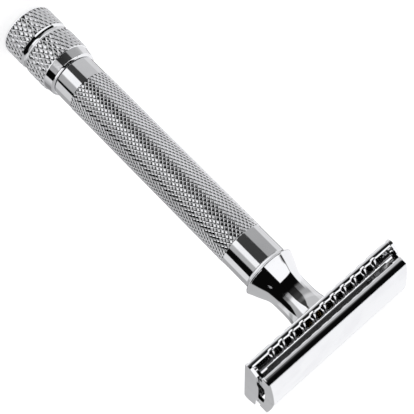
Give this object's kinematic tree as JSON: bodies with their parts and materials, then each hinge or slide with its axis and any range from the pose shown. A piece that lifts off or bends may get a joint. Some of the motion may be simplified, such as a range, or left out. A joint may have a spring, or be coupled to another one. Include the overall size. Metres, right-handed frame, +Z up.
{
  "type": "safety razor",
  "caption": "Double-edge safety razor with a knurled handle, a twist knob that lifts the blade and opens two hinged doors, and a slotted, scalloped guard.",
  "frame": {"origin": "middle of the flat end face of the knob, on which the razor stands", "axes": "+Z up the handle to the head, +X along the head, -Y out of the front door"},
  "size_m": [0.0448, 0.0244, 0.1163],
  "materials": {
    "polished_chrome": "mirror-polished chrome plate",
    "knurled_chrome": "chrome plate over diamond knurling and polished ferrules",
    "plated_steel": "thin bright nickel plate over stamped steel",
    "steel": "turned steel, lightly oiled",
    "spring_steel": "blued spring steel",
    "blade_steel": "satin stainless steel with ground edges",
    "brass": "machined brass"
  },
  "bodies": {
    "frame": {"handle_barrel": "knurled_chrome", "neck_bell": "polished_chrome", "guide_bush": "brass", "spring_washer": "spring_steel", "guard_plate": "polished_chrome", "guard_ring_nut": "brass", "end_cap_left": "polished_chrome", "end_cap_right": "polished_chrome", "end_cap_rivets": "steel", "hinge_pins": "steel"},
    "knob": {"knob": "knurled_chrome", "knob_sleeve": "brass", "knob_circlip": "spring_steel", "thrust_washer": "brass"},
    "lifter": {"center_bar": "plated_steel", "blade_locator": "plated_steel", "razor_blade": "blade_steel", "drive_rod": "steel", "rod_nut": "brass"},
    "door_front": {"door_front": "polished_chrome"},
    "door_rear": {"door_rear": "polished_chrome"}
  },
  "joints": [
    {"name": "knob_turn", "type": "hinge", "parent": "frame", "child": "knob", "pos_m": [0, 0, 0], "axis": [0, 0, -1], "range_deg": [0, 720]},
    {"name": "center_bar_lift", "type": "slide", "parent": "frame", "child": "lifter", "axis": [0, 0, 1], "range_m": [0, 0.00291]},
    {"name": "door_front_swing", "type": "hinge", "parent": "frame", "child": "door_front", "pos_m": [0, -0.0102, 0.1096], "axis": [1, 0, 0], "range_deg": [0, 80]},
    {"name": "door_rear_swing", "type": "hinge", "parent": "frame", "child": "door_rear", "pos_m": [0, 0.0102, 0.1096], "axis": [-1, 0, 0], "range_deg": [0, 80]}
  ],
  "couplings": [
    {"joint": "center_bar_lift", "follows": "knob_turn", "m_per_rad": 0.0002317},
    {"joint": "door_front_swing", "follows": "knob_turn", "ratio": 0.1111},
    {"joint": "door_rear_swing", "follows": "knob_turn", "ratio": 0.1111}
  ]
}
